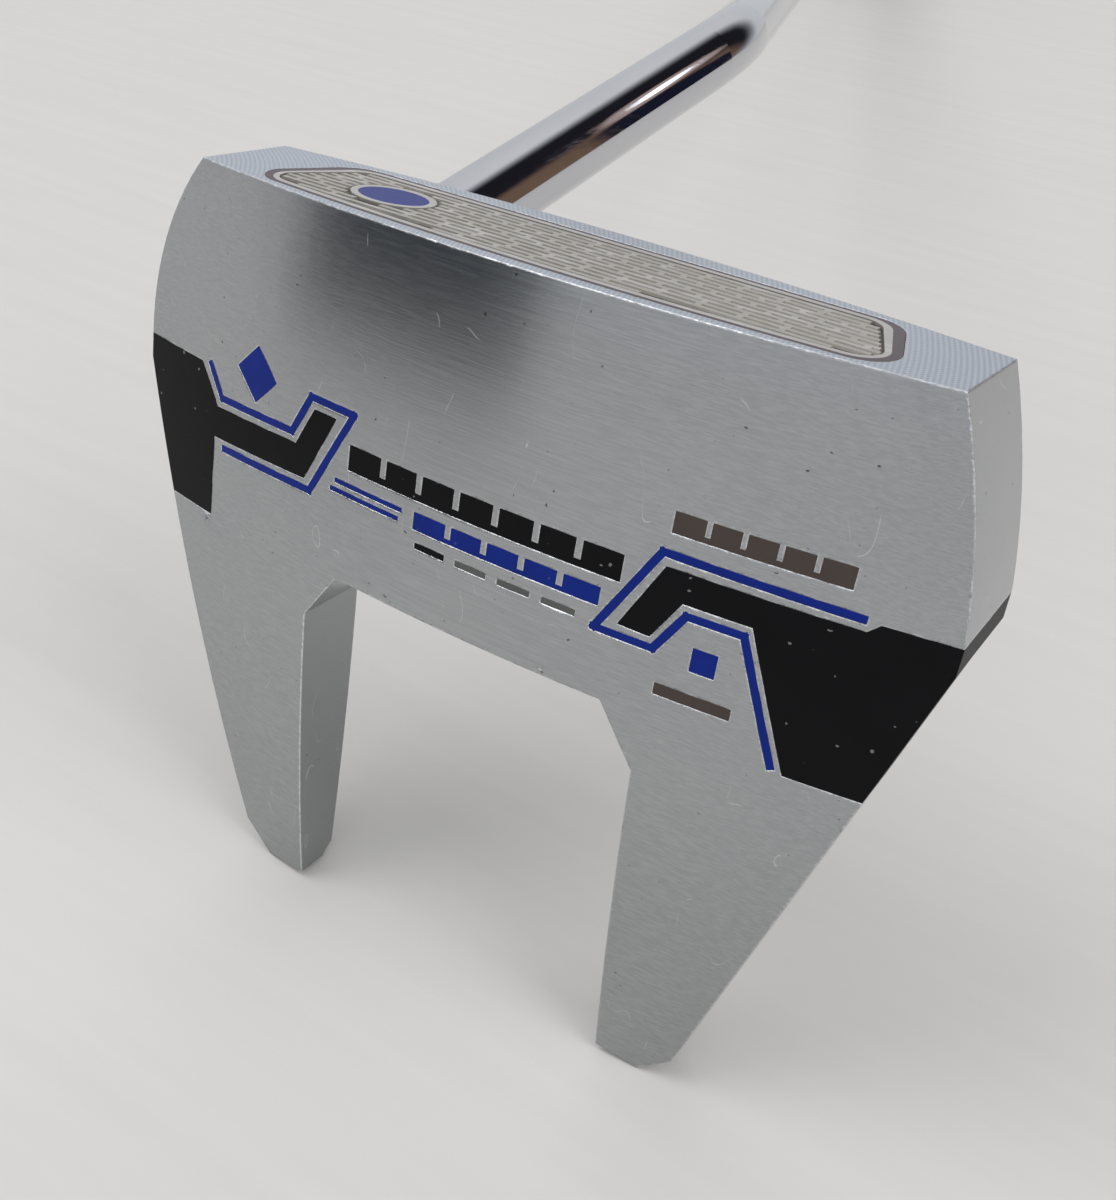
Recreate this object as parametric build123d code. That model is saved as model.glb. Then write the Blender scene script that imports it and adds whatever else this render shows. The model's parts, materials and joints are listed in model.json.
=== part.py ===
from build123d import *
import os
from math import atan2, cos, degrees, hypot, radians, sin, sqrt, tan

os.makedirs("parts", exist_ok=True)

# A mallet putter with two rear fangs, a face insert, a bent steel shaft and a pistol grip.
# The club is modelled as it is used: X to the toe, Y from the face to the fangs, Z up from the sole.
# At the end it is turned onto its fang tips and grip cap, the way it stands on a floor.

# Head plan
HEAD_WIDTH = 100.0          # heel to toe at the widest point
HEEL_REACH = 0.51 * HEAD_WIDTH      # from the middle plane to the widest point of the heel
TOE_REACH = 0.49 * HEAD_WIDTH       # and of the toe
HEAD_DEPTH = 87.5           # face to fang ends
FACE_LENGTH = 0.856 * HEAD_WIDTH    # between the two lower corners of the face
HEEL_BOW = 0.023 * HEAD_WIDTH       # how far the heel swells beyond a straight line
TOE_BOW = 0.008 * HEAD_WIDTH        # the toe is flatter
WIDEST_Y = 0.25 * HEAD_DEPTH        # where the shoulders are widest
SHOULDER_Y = 0.286 * HEAD_DEPTH     # where the full-height shoulders end and the fangs begin
FANG_LENGTH = 0.547 * HEAD_DEPTH    # notch front to fang ends
TIP_WIDTH = 0.093 * HEAD_WIDTH      # across a fang's end
TIP_INNER_X = 0.227 * HEAD_WIDTH    # from the middle plane to a fang's inner corner at its end
TOE_TIP_INSET = 0.011 * HEAD_WIDTH  # the toe fang is this much narrower at its end
ROOT_INNER_X = 0.219 * HEAD_WIDTH   # from the middle plane to a fang's inner wall at its root
TIP_SKEW = 0.7              # the inner corner stands this much short of the end
TIP_CUT = 3.5               # length of the small cut on a fang's outer corner
TIP_END_SHARE = 0.66        # how much of the tip's width is left at the very end
NOTCH_CUT_X = 4.6           # the notch's front corners are cut by this much across
NOTCH_CUT_Y = 6.7           # and this much along

# Head heights
FACE_HEIGHT = 24.4          # top of the face above the sole's lowest point
CROWN_RADIUS = 266.0        # crown curve from heel to toe
SOLE_RADIUS_ACROSS = 243.0  # sole curve from heel to toe
SOLE_RADIUS_ALONG = 394.0   # sole curve from face to fangs
SOLE_LOW_Y = 0.606 * HEAD_DEPTH     # the sole's lowest point
LOFT = 2.5                  # degrees the face leans back
BAR_DEPTH = 12.0            # full-height front bar behind the face
SHOULDER_WIDTH = 10.5       # full-height block at each end of the bar
SHOULDER_FILLET = 5.0
DECK_HEIGHT = 10.6          # highest point of the lower deck behind the bar
DECK_CREST_Y = 0.4 * HEAD_DEPTH
DECK_RADIUS = 550.0         # the deck falls gently to the fang ends
TIP_BEVEL = 1.5             # bevel on the top edge of the fang ends
WINDOW_MARGIN = 4.2         # deck left in front of the notch
WINDOW_HALF_WIDTH = 0.31 * HEAD_WIDTH
WINDOW_FRONT_GAP = 1.6      # ledge between the bar and the window
WINDOW_FLOOR = 5.2          # floor of the relief window above the sole's lowest point
WINDOW_FILLET = 4.0

# Face insert
INSERT_BOTTOM = 5.2         # lowest point of its bottom edge
INSERT_BOTTOM_RADIUS = 330.0        # the bottom edge follows the sole
INSERT_TOP = FACE_HEIGHT - 3.1
INSERT_LOWER_HALF = FACE_LENGTH / 2 - 5.6
INSERT_UPPER_HALF = FACE_LENGTH / 2 - 10.2
INSERT_CORNER_RADIUS = 4.0
INSERT_DEPTH = 2.8
INSERT_GAP = 0.05
SURROUND_THIN = 0.6         # surround along the top and bottom
SURROUND_WIDE = 1.1         # surround at the two ends
PLATE_THICKNESS = 0.9
ADHESIVE_THICKNESS = 0.15
BADGE_LENGTH = 8.2
BADGE_HEIGHT = 6.2
BADGE_DEPTH = 0.35
BADGE_RISE = 0.65           # above the middle of the insert
BADGE_X = -0.594 * INSERT_LOWER_HALF
BADGE_Z = (INSERT_BOTTOM + INSERT_TOP) / 2 + BADGE_RISE

# Paint
PAINT = 0.25                # depth of the filled recesses
STRIPE = 0.85               # width of the thin outlines
CROWN_PAINT_MARGIN = 1.0
SIGHT_LINE_WIDTH = 1.2

# Shaft
SHAFT_TIP_RADIUS = 4.7
SHAFT_BUTT_RADIUS = 7.35
SHAFT_WALL = 0.5
SHAFT_X = -0.259 * HEAD_WIDTH       # where the shaft leaves the crown
SHAFT_INSERT_WALL = 1.0     # metal between the shaft and the insert where the shaft enters
SHAFT_Y = SHAFT_TIP_RADIUS + INSERT_DEPTH + SHAFT_INSERT_WALL
SHAFT_LEAN_FORWARD = 12.0   # degrees, below the bend
SHAFT_LEAN_HEEL = 1.5       # degrees, below the bend
LIE = 70.0                  # degrees, above the bend
BEND_DISTANCE = 78.0        # from the crown to the bend
BEND_RADIUS = 45.0
STRAIGHT_AFTER_BEND = 20.0  # swept together with the bend
SOCKET_DEPTH = 17.0
SOCKET_FLOOR = 2.0          # metal under the socket
EPOXY = 0.1
BOSS_WALL = 2.8
BOSS_PAINT_GAP = 0.5        # bare metal between the boss and the paint around it
CLUB_LENGTH = 864.0         # sole to grip end along the upper shaft
TIP_SECTION = 150.0         # plain shaft above the bend before the first step
STEP_COUNT = 10
STEP_TO_GRIP = 20.0         # plain shaft between the last step and the grip
PLUG_LENGTH = 8.0
PLUG_SETBACK = 2.0
PLUG_GAP = 0.05

# Grip
GRIP_LENGTH = 268.0
GRIP_MOUTH_RADIUS = 9.6
GRIP_MID_RADIUS = 11.6
GRIP_MID_SHARE = 0.55       # where along the grip its middle section stands
GRIP_BUTT_RADIUS = 13.4
GRIP_FLAT_RATIO = 0.84      # the flat's distance from the axis over the radius
GRIP_PISTOL = 1.6           # how far the butt end swells towards the player
TAPE = 0.2
TAPE_SETBACK = 2.0          # the tape starts this far inside the grip's mouth
CAP_THICKNESS = 4.0
CAP_SPIGOT = 6.0
CAP_GAP = 0.1
VENT_RADIUS = 1.5

# Cutting tools
LARGE = 200.0               # longer than the head
CLEAR = 20.0                # how far a tool reaches past the metal
EDGE_SHARE = 0.6            # tools reach this share of the width from the middle plane
SOLE_SWEEP = 28.0           # degrees the sole tool turns through

face_half = FACE_LENGTH / 2
notch_y = HEAD_DEPTH - FANG_LENGTH
shoulder_x = HEAD_WIDTH / 2 - SHOULDER_WIDTH


# Head shape

def fang_points(reach, narrower):
    """One side of the plan from its widest point round the fang to the notch."""
    tip_width = TIP_WIDTH - narrower
    taper = (TIP_INNER_X + tip_width - reach) / (HEAD_DEPTH - SHOULDER_Y)
    cut_y = HEAD_DEPTH - TIP_CUT
    points = [(reach, WIDEST_Y), (reach, SHOULDER_Y), (reach + taper * (cut_y - SHOULDER_Y), cut_y)]
    points += [(TIP_INNER_X + tip_width * TIP_END_SHARE, HEAD_DEPTH), (TIP_INNER_X, HEAD_DEPTH - TIP_SKEW)]
    points += [(ROOT_INNER_X, notch_y + NOTCH_CUT_Y), (ROOT_INNER_X - NOTCH_CUT_X, notch_y)]
    return points


def head_outline():
    """Plan of the head: bowed ends, two tapering fangs and the notch."""
    toe = fang_points(TOE_REACH, TOE_TIP_INSET)
    heel = [(-x, y) for x, y in reversed(fang_points(HEEL_REACH, 0))]
    toe_bow = ((face_half + TOE_REACH) / 2 + TOE_BOW, WIDEST_Y / 2)
    heel_bow = (-(face_half + HEEL_REACH) / 2 - HEEL_BOW, WIDEST_Y / 2)
    edges = ThreePointArc((face_half, 0), toe_bow, (TOE_REACH, WIDEST_Y))
    edges += Polyline(*toe, *heel)
    edges += ThreePointArc((-HEEL_REACH, WIDEST_Y), heel_bow, (-face_half, 0))
    edges += Polyline((-face_half, 0), (-face_half, -CLEAR), (face_half, -CLEAR), (face_half, 0))
    return make_face(edges)


def sole_cutter(depth=0.0):
    """Everything below the doubly curved sole, raised by depth."""
    radius = SOLE_RADIUS_ACROSS - depth
    edge_x = HEAD_WIDTH * EDGE_SHARE
    edge_z = SOLE_RADIUS_ACROSS - sqrt(radius ** 2 - edge_x ** 2)
    profile = ThreePointArc((-edge_x, edge_z), (0, depth), (edge_x, edge_z))
    floor_z = -2 * CLEAR
    profile += Polyline((edge_x, edge_z), (edge_x, floor_z), (-edge_x, floor_z), (-edge_x, edge_z))
    face = Plane((0, SOLE_LOW_Y, 0), x_dir=(1, 0, 0), z_dir=(0, -1, 0)) * make_face(profile)
    axis = Axis((0, SOLE_LOW_Y, SOLE_RADIUS_ALONG), (1, 0, 0))
    return revolve(face.rotate(axis, -SOLE_SWEEP / 2), axis, SOLE_SWEEP)


def crown_cutter(depth=0.0):
    """Everything above the crown of the full-height bar, lowered by depth."""
    radius = CROWN_RADIUS - depth
    edge_x = HEAD_WIDTH * EDGE_SHARE
    edge_z = FACE_HEIGHT - CROWN_RADIUS + sqrt(radius ** 2 - edge_x ** 2)
    top = FACE_HEIGHT + CLEAR
    profile = ThreePointArc((-edge_x, edge_z), (0, FACE_HEIGHT - depth), (edge_x, edge_z))
    profile += Polyline((edge_x, edge_z), (edge_x, top), (-edge_x, top), (-edge_x, edge_z))
    face = Plane((0, LARGE, 0), x_dir=(1, 0, 0), z_dir=(0, -1, 0)) * make_face(profile)
    return extrude(face, 2 * LARGE)


def deck_height(y, depth=0.0):
    radius = DECK_RADIUS - depth
    return DECK_HEIGHT - DECK_RADIUS + sqrt(radius ** 2 - (y - DECK_CREST_Y) ** 2)


def deck_cutter(depth=0.0):
    """Everything above the gently falling deck and fang tops, lowered by depth."""
    start_y = -CLEAR
    end_y = HEAD_DEPTH + CLEAR
    top = FACE_HEIGHT + CLEAR
    start = (start_y, deck_height(start_y, depth))
    middle = (DECK_CREST_Y, DECK_HEIGHT - depth)
    end = (end_y, deck_height(end_y, depth))
    profile = ThreePointArc(start, middle, end)
    profile += Polyline(end, (end_y, top), (start_y, top), start)
    face = Plane((-LARGE / 2, 0, 0), x_dir=(0, 1, 0), z_dir=(1, 0, 0)) * make_face(profile)
    return extrude(face, LARGE)


def step_region():
    """Plan of what is lowered behind the bar, between and behind the two shoulders."""
    length = HEAD_DEPTH
    middle = Pos(0, BAR_DEPTH + length / 2) * Rectangle(2 * shoulder_x, length)
    middle = fillet(middle.vertices().group_by(Axis.Y)[0], SHOULDER_FILLET)
    rear = Pos(0, SHOULDER_Y + length / 2) * Rectangle(2 * HEAD_WIDTH * EDGE_SHARE, length)
    return middle + rear


def prism(sketch):
    """The sketch swept through the whole height of the head."""
    return extrude(Pos(0, 0, -CLEAR) * sketch, FACE_HEIGHT + 2 * CLEAR)


face_plane = Plane((0, 0, 0), x_dir=(1, 0, 0), z_dir=(0, -cos(radians(LOFT)), sin(radians(LOFT))))

crown_point = Vector(SHAFT_X, SHAFT_Y, FACE_HEIGHT)
lower_axis = Vector(-tan(radians(SHAFT_LEAN_HEEL)), -tan(radians(SHAFT_LEAN_FORWARD)), 1).normalized()
upper_axis = Vector(-cos(radians(LIE)), 0, sin(radians(LIE)))
socket_point = crown_point - lower_axis * SOCKET_DEPTH
bend_point = crown_point + lower_axis * BEND_DISTANCE


def rod(start, axis, radius, length):
    return extrude(Plane(start, z_dir=axis) * Circle(radius), length)


def window_sketch():
    """Plan of the relief pocket in the deck between the bar and the notch."""
    front = BAR_DEPTH + WINDOW_FRONT_GAP
    back = notch_y - WINDOW_MARGIN
    sketch = Pos(0, (front + back) / 2) * Rectangle(2 * WINDOW_HALF_WIDTH, back - front)
    return fillet(sketch.vertices(), WINDOW_FILLET)


def tip_bevel():
    """Removes the top edge of the fang ends."""
    top = deck_height(HEAD_DEPTH)
    end = HEAD_DEPTH - TIP_SKEW
    corner = [(end - TIP_BEVEL, top + TIP_BEVEL), (end + TIP_CUT, top + TIP_BEVEL)]
    corner += [(end + TIP_CUT, top - TIP_BEVEL - TIP_CUT), (end, top - TIP_BEVEL), (end - TIP_BEVEL, top)]
    side = Plane((-LARGE / 2, 0, 0), x_dir=(0, 1, 0), z_dir=(1, 0, 0))
    return extrude(side * make_face(Polyline(*corner, close=True)), LARGE)


def head_steel():
    """The casting before its pockets and filled recesses are cut."""
    blank = prism(head_outline()) - sole_cutter() - crown_cutter()
    blank -= extrude(face_plane * Rectangle(LARGE, LARGE), LARGE / 2)
    window = extrude(Pos(0, 0, WINDOW_FLOOR) * window_sketch(), LARGE)
    steel = blank - (prism(step_region()) & deck_cutter()) - window - tip_bevel()
    return steel + (boss() & blank)


# Face insert

def insert_outline(inset_end=0.0, inset_edge=0.0, grow=0.0):
    """Four-sided outline, wider at the sole, with a bowed bottom edge and rounded corners."""
    low = INSERT_BOTTOM + inset_edge - grow
    high = INSERT_TOP - inset_edge + grow
    lower = INSERT_LOWER_HALF - inset_end + grow
    upper = INSERT_UPPER_HALF - inset_end + grow
    radius = INSERT_BOTTOM_RADIUS - inset_edge + grow
    corner = low + radius - sqrt(radius ** 2 - lower ** 2)
    edges = ThreePointArc((-lower, corner), (0, low), (lower, corner))
    edges += Polyline((lower, corner), (upper, high), (-upper, high), (-lower, corner))
    return fillet(make_face(edges).vertices(), INSERT_CORNER_RADIUS - inset_edge + grow)


def behind_face(sketch, start, thickness):
    """The sketch on the face plane, extruded into the head from the given depth."""
    return extrude(face_plane.offset(-start - thickness) * sketch, thickness)


def insert_parts():
    outer = insert_outline()
    inner = insert_outline(SURROUND_WIDE, SURROUND_THIN)
    badge = Pos(BADGE_X, BADGE_Z) * Ellipse(BADGE_LENGTH / 2, BADGE_HEIGHT / 2)
    badge_solid = behind_face(badge, 0, BADGE_DEPTH)
    plate = behind_face(inner, 0, PLATE_THICKNESS) - badge_solid
    return {
        "insert_surround": behind_face(outer - inner, 0, INSERT_DEPTH),
        "insert_plate": plate,
        "insert_core": behind_face(inner, PLATE_THICKNESS, INSERT_DEPTH - PLATE_THICKNESS),
        "insert_adhesive": behind_face(insert_outline(), INSERT_DEPTH, ADHESIVE_THICKNESS),
        "insert_badge": badge_solid,
    }


def insert_pocket():
    return behind_face(insert_outline(grow=INSERT_GAP), 0, INSERT_DEPTH + ADHESIVE_THICKNESS)


# Filled recesses on the sole and the crown.
# The artwork is laid out for a head of the first size below, and follows the head's real size.

ART_WIDTH = 100.0
ART_DEPTH = 87.5
BAND_FRONT = 22.2
BAND_REAR = 40.5
LINE_WIDTH = 0.55
DASH_LENGTH = 3.9
DASH_PITCH = 5.3
DASH_COUNT = 4


def art(x, y):
    return (x * HEAD_WIDTH / ART_WIDTH, y * HEAD_DEPTH / ART_DEPTH)


def art_face(points):
    return make_face(Polyline(*[art(x, y) for x, y in points], close=True))


def stroke(points, width=STRIPE):
    """A stripe of even width along a bent line, with square corners."""
    face = None
    placed = [art(x, y) for x, y in points]
    for (x0, y0), (x1, y1) in zip(placed, placed[1:]):
        length = hypot(x1 - x0, y1 - y0)
        turn = Rot(0, 0, degrees(atan2(y1 - y0, x1 - x0)))
        piece = Pos((x0 + x1) / 2, (y0 + y1) / 2) * turn * Rectangle(length + width, width)
        face = piece if face is None else face + piece
    return face


def heel_band():
    """Black block that wraps the heel, with an L-shaped arm towards the middle."""
    edge = -ART_WIDTH
    points = [(edge, BAND_FRONT), (-41.0, BAND_FRONT), (-37.9, 26.6), (-24.6, 26.1), (-22.1, 21.4)]
    points += [(-18.8, 21.4), (-23.0, 29.7), (-38.3, 30.4), (-38.7, BAND_REAR), (edge, BAND_REAR)]
    return art_face(points)


def toe_band():
    """Black block that wraps the toe, with a hooked arm towards the middle."""
    edge = ART_WIDTH
    points = [(21.5, 23.1), (40.7, 23.2), (41.8, BAND_FRONT), (edge, BAND_FRONT), (edge, BAND_REAR)]
    points += [(36.7, BAND_REAR), (30.8, 26.3), (23.8, 26.3), (21.2, 30.8), (17.7, 30.7)]
    return art_face(points)


def bar(x0, x1, y, width):
    """A plain straight mark."""
    (left, centre), (right, _) = art(x0, y), art(x1, y)
    return Pos((left + right) / 2, centre) * Rectangle(right - left, width)


def tally(x0, x1, y, height, blocks):
    """A plain bar slotted from one side into equal blocks, where real clubs carry lettering."""
    mark = bar(x0, x1, y, height)
    pitch = (x1 - x0) / blocks
    for index in range(1, blocks):
        slot_x, slot_y = art(x0 + index * pitch, y)
        mark -= Pos(slot_x, slot_y - height * 0.15) * Rectangle(pitch * 0.16, height * 0.75)
    return mark


def square(x, y, side, turn=0.0):
    return Pos(*art(x, y)) * Rot(0, 0, turn) * Rectangle(side, side)


def sole_sketches():
    """Name and outline of every small mark on the sole."""
    heel_line = [(-39.4, 22.1), (-37.2, 25.4), (-25.3, 25.0), (-22.7, 20.2)]
    heel_line += [(-16.4, 20.2), (-22.1, 30.8), (-36.5, 31.3)]
    toe_line = [(40.1, 22.1), (20.9, 21.8), (15.3, 31.9), (21.7, 31.9), (24.4, 27.4)]
    toe_line += [(30.2, 27.4), (35.4, 39.9)]
    sketches = {
        "sole_stripe_heel": stroke(heel_line),
        "sole_stripe_toe": stroke(toe_line),
        "sole_mark_heel": square(-31.4, 20.6, 4.6, 45),
        "sole_mark_main": tally(-16.6, 17.2, 24.9, 2.9, 7),
        "sole_mark_second": tally(-7.2, 15.4, 28.6, 2.0, 5),
        "sole_mark_brown": tally(21.3, 38.6, 18.6, 2.2, 5),
        "sole_mark_square": square(27.0, 31.6, 2.6),
        "sole_mark_small": bar(22.6, 30.6, 36.0, 1.3),
        "sole_line_upper": bar(-18.4, -8.8, 28.1, LINE_WIDTH),
        "sole_line_lower": bar(-19.0, -9.2, 29.2, LINE_WIDTH),
    }
    for index in range(DASH_COUNT):
        start = -6.7 + index * DASH_PITCH
        sketches[f"sole_dash_{index + 1}"] = bar(start, start + DASH_LENGTH, 31.3, 0.7)
    return sketches


def strip(y0, y1):
    """Everything between two distances behind the face."""
    return Pos(0, (y0 + y1) / 2) * Rectangle(LARGE, y1 - y0)


def band_strip():
    (_, front), (_, rear) = art(0, BAND_FRONT), art(0, BAND_REAR)
    return strip(front, rear)


def side_wall_layer():
    """Thin layer on the outer walls within the band, on both ends of the head."""
    inset = offset(head_outline(), -PAINT)
    return prism(band_strip() - Rectangle(2 * shoulder_x, LARGE) - inset)


def boss(radius_change=0.0):
    radius = SHAFT_TIP_RADIUS + EPOXY + BOSS_WALL + radius_change
    return rod(socket_point - lower_axis * SOCKET_FLOOR, lower_axis, radius, LARGE / 2)


def deck_layer(sketch):
    return (prism(sketch) & (deck_cutter(PAINT) - deck_cutter())) - boss(BOSS_PAINT_GAP)


def crown_tools():
    """Painted blocks of the crown: light, dark and light again from face to fangs."""
    margin = CROWN_PAINT_MARGIN
    inner = offset(head_outline(), -margin)
    top = FACE_HEIGHT * tan(radians(LOFT))
    front = (inner & strip(top + margin, SHOULDER_Y - margin)) - offset(step_region(), margin)
    line = Pos(0, (BAR_DEPTH + top) / 2) * Rectangle(SIGHT_LINE_WIDTH, BAR_DEPTH - top - 4 * margin)
    crown_layer = crown_cutter(PAINT) - boss(-BOSS_WALL + margin)
    sight_line = prism(line) & crown_layer
    lowered = offset(step_region(), -margin)
    _, rear = art(0, BAND_REAR)
    opening = offset(window_sketch(), margin)
    fangs = inner & strip(rear, HEAD_DEPTH - TIP_BEVEL - TIP_SKEW - margin)
    floor = extrude(Pos(0, 0, WINDOW_FLOOR - PAINT) * offset(window_sketch(), -margin), PAINT)
    return {
        "sight_line": sight_line,
        "crown_paint_front": (prism(front) & crown_layer) - sight_line,
        "crown_paint_middle": deck_layer((head_outline() & lowered & strip(0, rear)) - opening),
        "fang_paint_heel": deck_layer(fangs & (Pos(-LARGE / 2, 0) * Rectangle(LARGE, LARGE))),
        "fang_paint_toe": deck_layer(fangs & (Pos(LARGE / 2, 0) * Rectangle(LARGE, LARGE))),
        "window_paint": floor - boss(BOSS_PAINT_GAP),
    }


def fill_tools():
    """Name and recess volume of every paint fill."""
    tools = {name: prism(sketch) & sole_cutter(PAINT) for name, sketch in sole_sketches().items()}
    wall = side_wall_layer()
    heel_half = Pos(-LARGE / 2, 0, 0) * Box(LARGE, LARGE, LARGE)
    tools["band_heel"] = (prism(heel_band()) & sole_cutter(PAINT)) + (wall & heel_half)
    tools["band_toe"] = (prism(toe_band()) & sole_cutter(PAINT)) + (wall - heel_half)
    tools.update(crown_tools())
    return tools


def head_parts(casting):
    """The casting with its pocket, socket and recesses, and the paint that fills them."""
    steel = casting
    parts = {}
    for name, tool in fill_tools().items():
        parts[name] = steel & tool
        steel = steel - tool
    steel -= insert_pocket()
    steel -= rod(socket_point - lower_axis * EPOXY, lower_axis, SHAFT_TIP_RADIUS + EPOXY, LARGE / 2)
    parts["head_body"] = steel
    return parts


# Shaft and grip

def bend_path():
    half_angle = lower_axis.get_angle(upper_axis) / 2
    reach = BEND_RADIUS * tan(radians(half_angle))
    straight_end = reach + STRAIGHT_AFTER_BEND
    before = bend_point - lower_axis * reach
    after = bend_point + upper_axis * reach
    first = Line(socket_point, before)
    arc = TangentArc(before, after, tangent=lower_axis)
    last = Line(after, bend_point + upper_axis * straight_end)
    return Wire([first, arc, last]), straight_end


butt_distance = CLUB_LENGTH - bend_point.Z / upper_axis.Z
grip_end = butt_distance - CAP_THICKNESS
shaft_end = grip_end - CAP_SPIGOT - CAP_GAP
grip_start = butt_distance - GRIP_LENGTH


def stepped_rod(start, inset):
    """Upper shaft: plain, then stepping up in equal rings to the butt diameter."""
    rise = (SHAFT_BUTT_RADIUS - SHAFT_TIP_RADIUS) / STEP_COUNT
    pitch = (grip_start - STEP_TO_GRIP - TIP_SECTION) / STEP_COUNT
    points = [(0, start), (SHAFT_TIP_RADIUS - inset, start)]
    for index in range(STEP_COUNT):
        height = TIP_SECTION + pitch * index
        points.append((SHAFT_TIP_RADIUS - inset + rise * index, height))
        points.append((SHAFT_TIP_RADIUS - inset + rise * (index + 1), height + rise * 2))
    points += [(SHAFT_BUTT_RADIUS - inset, shaft_end), (0, shaft_end)]
    profile = make_face(Polyline(*points, close=True))
    plane = Plane(bend_point, x_dir=(0, 1, 0), z_dir=Vector(0, 1, 0).cross(upper_axis))
    return revolve(plane * profile, Axis(bend_point, upper_axis))


def shaft_tube():
    path, reach = bend_path()
    solids = []
    for inset in (0.0, SHAFT_WALL):
        circle = Plane(socket_point, z_dir=lower_axis) * Circle(SHAFT_TIP_RADIUS - inset)
        solids.append(sweep(circle, path=path) + stepped_rod(reach, inset))
    return solids[0] - solids[1]


def shaft_epoxy():
    outer = rod(socket_point - lower_axis * EPOXY, lower_axis, SHAFT_TIP_RADIUS + EPOXY, SOCKET_DEPTH * 2)
    inner = rod(socket_point, lower_axis, SHAFT_TIP_RADIUS, SOCKET_DEPTH * 2)
    return outer - inner


def tip_plug():
    radius = SHAFT_TIP_RADIUS - SHAFT_WALL - PLUG_GAP
    return rod(socket_point + lower_axis * PLUG_SETBACK, lower_axis, radius, PLUG_LENGTH)


def grip_section(radius, distance, swell=0.0):
    """Round section with a flat on the side away from the player."""
    plane = Plane(bend_point + upper_axis * distance, x_dir=(0, 1, 0), z_dir=upper_axis)
    flat = radius * GRIP_FLAT_RATIO
    half = sqrt(radius ** 2 - flat ** 2)
    outline = ThreePointArc((half, -flat), (0, radius + swell), (-half, -flat))
    outline += Line((-half, -flat), (half, -flat))
    return plane * make_face(outline)


def grip_parts():
    sections = [grip_section(GRIP_MOUTH_RADIUS, grip_start)]
    sections.append(grip_section(GRIP_MID_RADIUS, grip_start + GRIP_LENGTH * GRIP_MID_SHARE))
    sections.append(grip_section(GRIP_BUTT_RADIUS, grip_end, GRIP_PISTOL))
    bore = SHAFT_BUTT_RADIUS + TAPE
    bore_start = bend_point + upper_axis * (grip_start - CLEAR)
    sleeve = loft(sections) - rod(bore_start, upper_axis, bore, GRIP_LENGTH * 2)
    start = bend_point + upper_axis * (grip_start + TAPE_SETBACK)
    length = shaft_end - grip_start - TAPE_SETBACK
    tape = rod(start, upper_axis, bore, length) - rod(start, upper_axis, SHAFT_BUTT_RADIUS, length)
    spigot_foot = bend_point + upper_axis * (grip_end - CAP_SPIGOT)
    cap = extrude(grip_section(GRIP_BUTT_RADIUS, grip_end, GRIP_PISTOL), CAP_THICKNESS)
    cap += rod(spigot_foot, upper_axis, bore - CAP_GAP, CAP_SPIGOT)
    cap -= rod(spigot_foot - upper_axis * CLEAR, upper_axis, VENT_RADIUS, LARGE)
    return {"grip_sleeve": sleeve, "grip_tape": tape, "grip_cap": cap}


# The whole club, turned onto its fang tips and grip cap

TILT_LIMIT = 20.0           # degrees
TILT_HALVINGS = 30


def lowest_reach(shape, tilt):
    """Lowest height of a shape once the club is turned by the given tilt."""
    return (Rot(-90 - tilt, 0, 0) * shape).bounding_box().min.Z


def resting_tilt(head, cap):
    """Tilt at which the fang tips and the grip cap touch the floor together."""
    low, high = 0.0, TILT_LIMIT
    for _ in range(TILT_HALVINGS):
        tilt = (low + high) / 2
        if lowest_reach(cap, tilt) > lowest_reach(head, tilt):
            low = tilt
        else:
            high = tilt
    return tilt


def club():
    casting = head_steel()
    parts = head_parts(casting)
    parts.update(insert_parts())
    parts.update(grip_parts())
    parts.update({"shaft_tube": shaft_tube(), "shaft_epoxy": shaft_epoxy() & casting, "tip_plug": tip_plug()})
    tilt = resting_tilt(parts["head_body"], parts["grip_cap"])
    turn = Rot(-90 - tilt, 0, 0)
    tips = (turn * parts["head_body"]).bounding_box().min.Z
    tip_foot = turn * Pos(0, HEAD_DEPTH - TIP_SKEW, deck_height(HEAD_DEPTH) - TIP_BEVEL)
    placing = Pos(0, -tip_foot.position.Y, -tips) * turn
    print("resting tilt", round(tilt, 3), "moved by", placing.position)
    return {name: placing * shape for name, shape in parts.items()}


for name, shape in club().items():
    solids = shape.solids()
    if len(solids) != 1:
        raise ValueError(f"{name} has {len(solids)} solids")
    export_step(solids[0], f"parts/{name}.step")
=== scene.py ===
import json
import math

import bmesh
import bpy
from mathutils import Matrix, Vector


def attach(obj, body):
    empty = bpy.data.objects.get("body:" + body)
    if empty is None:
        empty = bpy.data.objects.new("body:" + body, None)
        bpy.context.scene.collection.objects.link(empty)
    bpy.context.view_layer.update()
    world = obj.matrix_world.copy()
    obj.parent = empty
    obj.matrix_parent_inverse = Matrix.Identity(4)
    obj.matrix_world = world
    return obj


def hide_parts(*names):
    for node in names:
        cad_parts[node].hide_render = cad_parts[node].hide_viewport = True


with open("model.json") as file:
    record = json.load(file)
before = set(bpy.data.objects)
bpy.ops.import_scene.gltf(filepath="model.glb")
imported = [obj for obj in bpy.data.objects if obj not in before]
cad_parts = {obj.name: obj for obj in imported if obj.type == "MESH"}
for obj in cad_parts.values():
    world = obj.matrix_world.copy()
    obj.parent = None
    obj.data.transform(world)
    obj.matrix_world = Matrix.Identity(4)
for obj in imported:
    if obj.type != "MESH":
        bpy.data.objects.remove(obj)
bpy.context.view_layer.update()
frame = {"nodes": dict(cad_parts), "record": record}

# The head's own axes: X to the toe, Y from the face to the fangs, Z up from the sole, in millimetres.
# The club lies on its fang ends and its grip cap, which turns and lifts the head.
RESTING_TILT = 5.746                        # degrees
HEAD_TURN = math.radians(-90.0 - RESTING_TILT)
HEAD_SHIFT = (0.0, 0.00213426, 0.0876499)   # metres
MILLIMETRE = 0.001
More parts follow.
